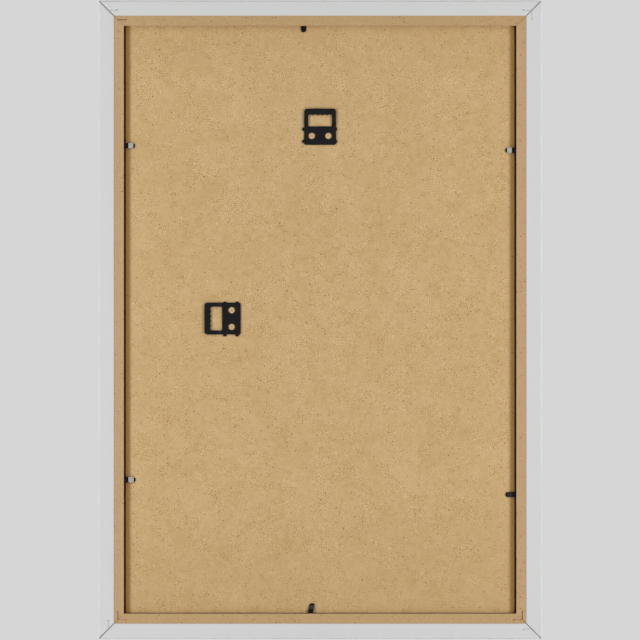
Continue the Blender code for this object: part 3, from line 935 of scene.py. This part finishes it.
@dataclass
class CornerNails:
    """The bent strip nails across the mitres, and the dust in their slots.

    Each nail has a leg in the top or bottom rail and a leg in the side rail, in that order.
    Insets are the rows' places from the frame's edges, and depths say how far the dust lies
    below the rail's back.
    """

    fills: dict[str, tuple[Fill, Fill]] = field(default_factory=lambda: {
        "top_right_outer": (Fill.MOST, Fill.ALL),
        "top_right_inner": (Fill.OPEN, Fill.ALL),
        "top_left_outer": (Fill.MOST, Fill.MOST),
        "top_left_inner": (Fill.ALL, Fill.ALL),
        "bottom_right_outer": (Fill.ALL, Fill.MOST),
        "bottom_right_inner": (Fill.MOST, Fill.OPEN),
        "bottom_left_outer": (Fill.MOST, Fill.ALL),
        "bottom_left_inner": (Fill.MOST, Fill.OPEN),
    })
    insets: dict[str, float] = field(default_factory=lambda: {
        "outer": 9.8 * MM, "inner": 19.5 * MM,
    })
    bend: float = 0.9 * MM
    leg: float = 8.0 * MM
    nail_sink: float = 0.3 * MM
    clearance: float = 0.13 * MM
    depths: dict[Fill, float] = field(default_factory=lambda: {
        Fill.MOST: 0.10 * MM, Fill.ALL: 0.02 * MM,
    })
    packing: float = 0.4 * MM

    def build(self) -> list[bpy.types.Object]:
        """Dresses the nails and packs their slots.

        Returns:
            The new pieces.
        """
        steel = {"outer": FOIL_NAIL, "inner": BOARD_NAIL}
        dust = {"outer": FOIL_DUST, "inner": BOARD_DUST}
        plug = {"outer": FOIL, "inner": CROSS_BOARD}
        made = []
        for place, legs in self.fills.items():
            row = place.rsplit("_", 1)[1]
            dress(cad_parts[f"nail_{place}"], steel[row])
            for axis, fill in zip("xz", legs):
                if fill is not Fill.OPEN:
                    piece = self.packed(place, axis, fill)
                    dress(piece, plug[row] if fill is Fill.ALL else dust[row])
                    made.append(piece)
        return made

    def packed(self, place: str, axis: str, fill: Fill) -> bpy.types.Object:
        """The dust over one leg of a nail, shaped from the nail itself.

        Args:
            place: The nail's place.
            axis: The axis along which the leg runs.
            fill: How much of the slot the dust fills.

        Returns:
            The dust, in its place.
        """
        piece = merged_copy(f"nail_{place}", f"nail_dust_{place}_{axis}")
        corner = corner_of(place)
        inward = Vector((1, 0, 0)) if axis == "x" else Vector((0, 0, 1))
        if (axis == "x" and "right" in place) or (axis == "z" and "top" in place):
            inward.negate()
        inset = self.insets[place.rsplit("_", 1)[1]]

        def shape() -> None:
            """Cuts the leg's top out, widens it to the slot and raises it."""
            self.keep_beyond(corner + inward * (inset + self.bend), inward)
            if fill is Fill.MOST:
                self.keep_beyond(corner + inward * (inset + self.leg), -inward)
            self.keep_beyond(Vector((0, -self.nail_sink - self.packing, 0)), Vector((0, 1, 0)))
            bpy.ops.mesh.select_all(action="SELECT")
            bpy.ops.transform.shrink_fatten(value=self.clearance, use_even_offset=True)
            lift = self.nail_sink - self.clearance - self.depths[fill]
            bpy.ops.transform.translate(value=(0, lift, 0))

        in_edit(piece, shape)
        bpy.ops.object.shade_smooth_by_angle(angle=SMOOTH_ANGLE)
        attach(piece, ROOT_BODY)
        return piece

    @staticmethod
    def keep_beyond(point: Vector, normal: Vector) -> None:
        """Cuts off what lies behind a plane, from within edit mode, and closes the cut."""
        bpy.ops.mesh.select_all(action="SELECT")
        bpy.ops.mesh.bisect(plane_co=point, plane_no=normal, use_fill=True, clear_inner=True)


@dataclass
class Lamp:
    """One soft box, aimed at the middle of the frame."""

    name: str
    place: Vector
    aim: Vector
    width: float
    height: float
    power: float

    def build(self) -> bpy.types.Object:
        """Adds the lamp.

        Returns:
            The lamp.
        """
        data = bpy.data.lights.new(self.name, "AREA")
        data.shape = "RECTANGLE"
        data.size, data.size_y = self.width, self.height
        data.energy = self.power
        lamp = bpy.data.objects.new(self.name, data)
        bpy.context.scene.collection.objects.link(lamp)
        lamp.location = self.place
        lamp.rotation_euler = (self.aim - self.place).to_track_quat("-Z", "Y").to_euler()
        return lamp


@dataclass
class Studio:
    """Camera, lamps, background and floor.

    The pixel is what one pixel of the picture covers at the frame's back, and the centre is
    the picture's middle, across from the origin and up from the frame's foot. Each reach is
    how far a lamp stands out to its side and off from the back.
    """

    pixels: int = 640
    pixel: float = 1.0237 * MM
    sensor: float = 36.0
    centre: tuple[float, float] = (0.1 * MM, 326.2 * MM)
    distance: float = 7.0
    backdrop: Colour = srgb(214, 214, 214)
    ambient: float = 0.045
    lamp_reach: tuple[float, float] = (0.985, 0.80)
    lamp_aim: float = 0.38
    lamp_size: tuple[float, float] = (0.34, 2.00)
    back_power: float = 14.1
    front_power: float = 13.9
    end_power: tuple[float, float] = (2.4, 2.1)
    end_reach: tuple[float, float] = (1.25, 0.90)
    fill: Colour = (1.0, 0.95, 0.86)
    floor_drop: float = 0.80
    floor_size: float = 8.0

    def middle(self) -> Vector:
        """The middle of the frame's back."""
        low, high = CAD_BOX
        return Vector(((low.x + high.x) / 2, high.y, (low.z + high.z) / 2))

    def build(self) -> None:
        """Sets up the whole studio."""
        self.camera()
        self.lamps()
        self.world()
        self.floor()
        bpy.context.scene.view_settings.view_transform = "Standard"

    def camera(self) -> None:
        """A long lens square to the back of the frame, at the photograph's scale."""
        data = bpy.data.cameras.new("camera")
        data.sensor_width = self.sensor
        data.lens = self.sensor * self.distance / (self.pixel * self.pixels)
        camera = bpy.data.objects.new("camera", data)
        bpy.context.scene.collection.objects.link(camera)
        side, rise = self.centre
        camera.location = (side, CAD_BOX[1].y + self.distance, CAD_BOX[0].z + rise)
        camera.rotation_euler = (math.radians(90), 0, math.radians(180))
        bpy.context.scene.camera = camera

    def lamps(self) -> None:
        """Tall soft boxes at both sides, behind and in front, and a weak one at each end."""
        middle = self.middle()
        out, off = self.lamp_reach
        for face, depth, power in (("back", 1, self.back_power), ("front", -1, self.front_power)):
            for side in (-1, 1):
                place = middle + Vector((side * out, depth * off, 0))
                aim = middle - Vector((side * self.lamp_aim, 0, 0))
                name = f"{face}_lamp_{'left' if side < 0 else 'right'}"
                Lamp(name, place, aim, *self.lamp_size, power).build()
        out, off = self.end_reach
        for name, side, power in zip(("top", "bottom"), (1, -1), self.end_power):
            place = middle + Vector((0, off, side * out))
            Lamp(f"{name}_lamp", place, middle, *reversed(self.lamp_size), power).build()

    def world(self) -> None:
        """An even pale background, which lights the frame less than it shows."""
        world = bpy.data.worlds.new("studio")
        bpy.context.scene.world = world
        world.use_nodes = True
        tree = world.node_tree
        path = tree.nodes.new("ShaderNodeLightPath")
        seen = self.either(tree, path.outputs["Is Camera Ray"], path.outputs["Is Glossy Ray"])
        seen = self.either(tree, seen, path.outputs["Is Transmission Ray"])
        shown = tree.nodes.new("ShaderNodeBackground")
        shown.inputs["Color"].default_value = (*self.backdrop, 1.0)
        fill = tree.nodes.new("ShaderNodeBackground")
        fill.inputs["Strength"].default_value = self.ambient
        fill.inputs["Color"].default_value = (*self.fill, 1.0)
        mix = tree.nodes.new("ShaderNodeMixShader")
        tree.links.new(seen, mix.inputs[0])
        tree.links.new(fill.outputs[0], mix.inputs[1])
        tree.links.new(shown.outputs[0], mix.inputs[2])
        tree.links.new(mix.outputs[0], tree.nodes["World Output"].inputs["Surface"])

    @staticmethod
    def either(
        tree: bpy.types.NodeTree, first: bpy.types.NodeSocket, second: bpy.types.NodeSocket
    ) -> bpy.types.NodeSocket:
        """The greater of two outputs."""
        pick = tree.nodes.new("ShaderNodeMath")
        pick.operation = "MAXIMUM"
        tree.links.new(first, pick.inputs[0])
        tree.links.new(second, pick.inputs[1])
        return pick.outputs[0]

    def floor(self) -> None:
        """A plain pale floor below the hanging frame."""
        height = CAD_BOX[0].z - self.floor_drop
        bpy.ops.object.select_all(action="DESELECT")
        bpy.ops.mesh.primitive_plane_add(size=self.floor_size, location=(0, 0, height))
        floor = bpy.context.object
        floor.name = "floor"
        dress(floor, FLOOR)


def report(group: str, made: Iterable[bpy.types.Object]) -> None:
    """Logs the pieces of one sub-assembly.

    Args:
        group: The sub-assembly's name.
        made: Its new pieces.
    """
    for piece in made:
        LOG.info("%s: %s, %d faces", group, piece.name, len(piece.data.polygons))


def main() -> None:
    """Builds the looks, sub-assembly by sub-assembly."""
    logging.basicConfig(level=logging.INFO, format="%(name)s: %(message)s")
    for part in (Rails(), BackPanel(), Glazing(), Points(), CornerNails()):
        report(type(part).__name__, part.build())
    Studio().build()


if __name__ == "__main__":
    main()
